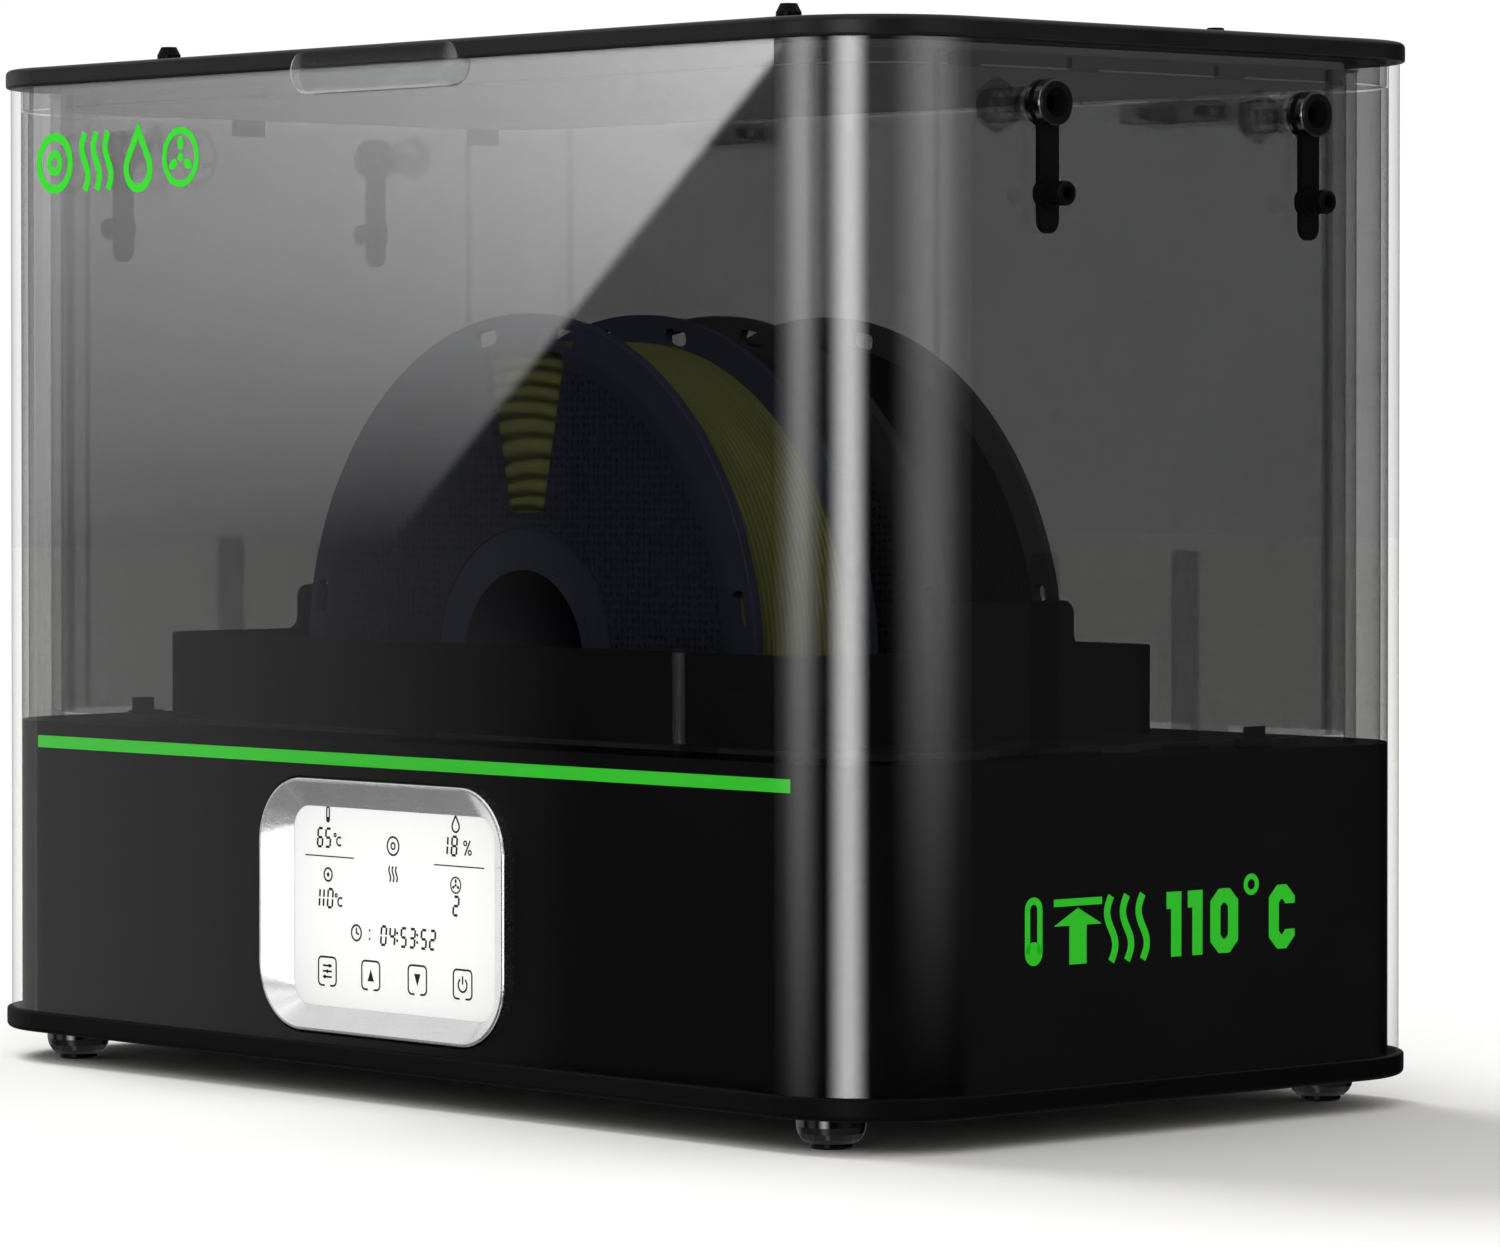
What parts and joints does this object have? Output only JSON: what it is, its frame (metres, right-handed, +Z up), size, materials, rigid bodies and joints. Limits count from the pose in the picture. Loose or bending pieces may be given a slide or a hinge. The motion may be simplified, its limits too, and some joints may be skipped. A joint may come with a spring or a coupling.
{
  "type": "filament dryer box",
  "caption": "Clear-walled drying box for filament spools: black heated base with a white display, spool tray on rollers, hinged lid and side filament ports.",
  "frame": {"origin": "centre of the plan at the underside of the feet", "axes": "+X to the right along the front face, +Y from the front to the rear, +Z up"},
  "size_m": [0.4244, 0.2363, 0.304],
  "materials": {
    "black_housing": "gloss",
    "black_trim": "gloss",
    "black_matte": "fine texture",
    "clear_wall": "clear polished",
    "smoked_wall": "smoked polished",
    "silver_frame": "satin metallic",
    "white_screen": "gloss",
    "green_accent": "satin",
    "rubber": "satin",
    "clear_pull": "clear polished",
    "steel": "brushed",
    "blackened_steel": "black satin",
    "spool_slate": "dimpled",
    "spool_dark": "satin",
    "filament_olive": "satin wound",
    "filament_black": "satin wound",
    "roller_grey": "satin",
    "circuit_board": "solder mask",
    "heater_metal": "milled",
    "switch_red": "gloss",
    "brass_contact": "plain"
  },
  "bodies": {
    "case": {"base_plate": "black_trim", "foot_cups": "black_trim", "foot_pads": "rubber", "foot_screws": "steel", "housing_screws": "steel", "lower_housing": "black_housing", "chamber_floor": "black_matte", "floor_clips": "black_matte", "guide_posts": "smoked_wall", "spool_tray": "black_matte", "roller_axles": "steel", "outer_shell": "clear_wall", "inner_shell": "smoked_wall", "chamber_liner": "smoked_wall", "port_tubes": "black_trim", "port_nuts": "black_trim", "hinge_blocks": "smoked_wall", "hinge_case_leaves": "smoked_wall", "hinge_pins": "steel", "hinge_case_screws": "steel", "display_bezel": "silver_frame", "display_screen": "white_screen", "control_board": "circuit_board", "touch_pads": "brass_contact", "accent_strip": "green_accent", "fan_frame": "black_matte", "heater_block": "heater_metal", "air_duct": "black_matte", "power_board": "circuit_board", "power_socket": "black_matte", "switch_frame": "black_matte", "sensor_module": "black_matte", "cables": "rubber"},
    "lid": {"lid_plate": "black_trim", "lid_skirt": "smoked_wall", "lid_seal": "rubber", "lid_pegs": "rubber", "lid_pull": "clear_pull", "hinge_lid_leaves": "blackened_steel", "hinge_lid_screws": "blackened_steel"},
    "front_spool": {"spool_front": "spool_slate", "filament_front": "filament_olive"},
    "rear_spool": {"spool_rear": "spool_dark", "filament_rear": "filament_black"},
    "fan": {"fan_rotor": "black_matte"},
    "switch": {"switch_rocker": "switch_red"},
    "front_left_roller": {"roller_front_left": "roller_grey"},
    "front_left_stopper": {"stopper_front_left": "rubber"},
    "front_right_roller": {"roller_front_right": "roller_grey"},
    "front_right_stopper": {"stopper_front_right": "rubber"},
    "rear_left_roller": {"roller_rear_left": "roller_grey"},
    "rear_left_stopper": {"stopper_rear_left": "rubber"},
    "rear_right_roller": {"roller_rear_right": "roller_grey"},
    "rear_right_stopper": {"stopper_rear_right": "rubber"}
  },
  "joints": [
    {"name": "lid_hinge", "type": "hinge", "parent": "case", "child": "lid", "pos_m": [0, 0.117, 0.291], "axis": [-1, 0, 0], "range_deg": [0, 100]},
    {"name": "front_spool_spin", "type": "hinge", "parent": "case", "child": "front_spool", "pos_m": [0, -0.03625, 0.123], "axis": [0, 1, 0], "continuous": true},
    {"name": "rear_spool_spin", "type": "hinge", "parent": "case", "child": "rear_spool", "pos_m": [0, 0.03625, 0.123], "axis": [0, 1, 0], "continuous": true},
    {"name": "front_left_roller_spin", "type": "hinge", "parent": "case", "child": "front_left_roller", "pos_m": [-0.06258, -0.03625, 0.03363], "axis": [0, 1, 0], "continuous": true},
    {"name": "front_right_roller_spin", "type": "hinge", "parent": "case", "child": "front_right_roller", "pos_m": [0.06258, -0.03625, 0.03363], "axis": [0, 1, 0], "continuous": true},
    {"name": "rear_left_roller_spin", "type": "hinge", "parent": "case", "child": "rear_left_roller", "pos_m": [-0.06258, 0.03625, 0.03363], "axis": [0, 1, 0], "continuous": true},
    {"name": "rear_right_roller_spin", "type": "hinge", "parent": "case", "child": "rear_right_roller", "pos_m": [0.06258, 0.03625, 0.03363], "axis": [0, 1, 0], "continuous": true},
    {"name": "fan_spin", "type": "hinge", "parent": "case", "child": "fan", "pos_m": [0.147, 0, 0.027], "axis": [0, 0, 1], "continuous": true},
    {"name": "power_rock", "type": "hinge", "parent": "case", "child": "switch", "pos_m": [-0.07, 0.112, 0.048], "axis": [-1, 0, 0], "range_deg": [0, 18]},
    {"name": "front_left_stopper_swing", "type": "hinge", "parent": "case", "child": "front_left_stopper", "pos_m": [-0.2043, -0.05, 0.276], "axis": [1, 0, 0], "range_deg": [-90, 90]},
    {"name": "front_right_stopper_swing", "type": "hinge", "parent": "case", "child": "front_right_stopper", "pos_m": [0.2043, -0.05, 0.276], "axis": [1, 0, 0], "range_deg": [-90, 90]},
    {"name": "rear_left_stopper_swing", "type": "hinge", "parent": "case", "child": "rear_left_stopper", "pos_m": [-0.2043, 0.05, 0.276], "axis": [1, 0, 0], "range_deg": [-90, 90]},
    {"name": "rear_right_stopper_swing", "type": "hinge", "parent": "case", "child": "rear_right_stopper", "pos_m": [0.2043, 0.05, 0.276], "axis": [1, 0, 0], "range_deg": [-90, 90]}
  ],
  "couplings": [
    {"joint": "front_left_roller_spin", "follows": "front_spool_spin", "ratio": -11.111},
    {"joint": "front_right_roller_spin", "follows": "front_spool_spin", "ratio": -11.111},
    {"joint": "rear_left_roller_spin", "follows": "rear_spool_spin", "ratio": -11.111},
    {"joint": "rear_right_roller_spin", "follows": "rear_spool_spin", "ratio": -11.111}
  ]
}
